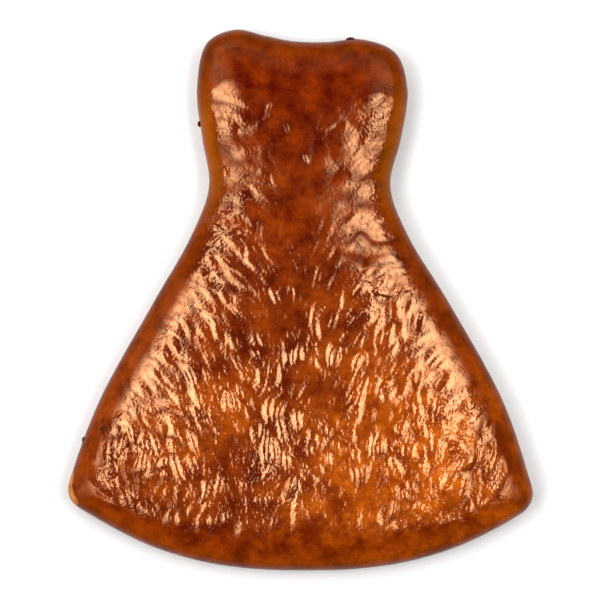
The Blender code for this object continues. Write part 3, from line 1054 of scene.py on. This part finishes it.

# %% [markdown]
# ## The floor
#
# The biscuit lies on white paper, which scatters light evenly and shows nothing but a soft shadow. The
# lights are strong enough for the glaze, so the paper is a light grey that they bring up to white. A
# single grid is all it needs.

# %% Floor
FLOOR_SIZE = 6.0
PAPER_GREY = "#b9b9b9"
floor_bm = bmesh.new()
bmesh.ops.create_grid(floor_bm, x_segments=2, y_segments=2, size=FLOOR_SIZE / 2)
floor_mesh = bpy.data.meshes.new("studio_floor")
floor_bm.to_mesh(floor_mesh)
floor_bm.free()
floor = bpy.data.objects.new("studio_floor", floor_mesh)
bpy.context.scene.collection.objects.link(floor)
paper = bpy.data.materials.new("white_paper")  # quite matt, so that only the soft shadow shows on it
paper.use_nodes = True
paper_shader = paper.node_tree.nodes["Principled BSDF"]
paper_shader.inputs["Base Color"].default_value = picked(PAPER_GREY)
paper_shader.inputs["Roughness"].default_value = 1.0
paper_shader.inputs["Specular IOR Level"].default_value = 0.0
floor_mesh.materials.append(paper)
print("floor, m:", FLOOR_SIZE)

# %% [markdown]
# ## Softboxes
#
# A glaze mirrors its lights, so where they stand decides which slopes shine: seen from above, a slope of 20
# degrees shows a light that stands 40 degrees from straight up. Long boxes to the left and right light the
# skirt's two flanks, and two smaller ones behind the neckline light the wrinkles that face them. Each box
# is brightest in its middle, as one with a cloth front is, which gives the highlights soft edges. A plain
# area light would give them hard ones.

# %% Lights
VECTOR_MATH = "ShaderNodeVectorMath"
LIGHT_DISTANCE = 1.5
FALLOFF = 2.0  # how steeply a softbox darkens towards its edges


def darken_edges(tree, radiance):
    """Makes a light as bright as radiance in its middle, and dark at its edges."""
    across = add(tree, "ShaderNodeNewGeometry").outputs["Parametric"]
    double = {0: across, 1: (2, 2, 0), 2: (-1, -1, 0)}  # from 0 to 1, to -1 to 1
    centred = add(tree, VECTOR_MATH, {"operation": "MULTIPLY_ADD"}, double).outputs[0]
    squared = add(tree, VECTOR_MATH, {"operation": "MULTIPLY"}, {0: centred, 1: centred}).outputs[0]
    sides = add(tree, "ShaderNodeSeparateXYZ", inputs={0: squared}).outputs
    wide, long = (counted(tree, "SUBTRACT", 1.0, side) for side in (sides[0], sides[1]))
    soft = counted(tree, "POWER", counted(tree, "MULTIPLY", wide, long), FALLOFF)
    power = counted(tree, "MULTIPLY", soft, radiance)
    tree.links.new(power, tree.nodes["Emission"].inputs["Strength"])


def softbox(name, azimuth, tilt, half_wide, half_long, radiance):
    """A rectangular light that faces the biscuit. Its tilt is from straight above, and its sizes are half
    the angles that it fills, all in degrees."""
    turn, lean = math.radians(azimuth), math.radians(tilt)
    away = Vector((math.sin(lean) * math.cos(turn), math.sin(lean) * math.sin(turn), math.cos(lean)))
    light = bpy.data.lights.new(name, "AREA")
    light.shape = "RECTANGLE"
    light.size = 2 * LIGHT_DISTANCE * math.tan(math.radians(half_long))
    light.size_y = 2 * LIGHT_DISTANCE * math.tan(math.radians(half_wide))
    light.energy = math.pi * light.size * light.size_y  # a radiance of 1, for the nodes to multiply
    light.use_nodes = True
    darken_edges(light.node_tree, radiance)
    holder = bpy.data.objects.new(name, light)
    holder.location = away * LIGHT_DISTANCE
    holder.rotation_euler = away.to_track_quat("Z", "Y").to_euler()
    holder.visible_camera = False
    bpy.context.scene.collection.objects.link(holder)
    print(name, "m:", round(light.size, 2), "by", round(light.size_y, 2))


softbox("key_softbox", 182.0, 40.0, 26.0, 46.0, 11.6)
softbox("top_softbox", 112.0, 46.0, 18.0, 21.0, 9.0)
softbox("fill_softbox", 2.0, 35.0, 24.0, 40.0, 10.6)
softbox("back_softbox", 62.0, 44.0, 18.0, 21.0, 6.2)

# %% [markdown]
# ## The room
#
# What is behind the floor shows as near white, but the glaze mirrors a dim grey room: a white one would
# lay a milky haze over the browns. One world can do both, because a shader can tell what the camera sees
# from what a surface reflects.

# %% World
ROOM_GREY = "#262626"
BACKDROP_WHITE = "#f9f9f9"
world = bpy.data.worlds.new("studio")
bpy.context.scene.world = world
world.use_nodes = True
room = world.node_tree
seen = add(room, "ShaderNodeLightPath").outputs["Is Camera Ray"]
sky = mixed(room, seen, picked(ROOM_GREY), picked(BACKDROP_WHITE))
room.links.new(sky, room.nodes["Background"].inputs["Color"])

# %% [markdown]
# ## The camera
#
# A biscuit that lies flat is best seen from straight above. A long lens far away shows its outline almost
# without perspective. The width that it should see, at the height of the widest line, gives the lens.

# %% Camera
FRAME_WIDTH = 105.36
CAMERA_HEIGHT = 1500.0
CAMERA_X = -0.09
lens = bpy.data.cameras.new("camera")
lens.sensor_width = 36.0
lens.lens = lens.sensor_width * (CAMERA_HEIGHT - WIDEST_Z) / FRAME_WIDTH
lens.clip_end = 10.0
camera = bpy.data.objects.new("camera", lens)
camera.location = (CAMERA_X * MM, 0.0, CAMERA_HEIGHT * MM)
bpy.context.scene.collection.objects.link(camera)
bpy.context.scene.camera = camera
bpy.context.scene.view_settings.view_transform = "Standard"
print("lens, mm:", round(lens.lens))
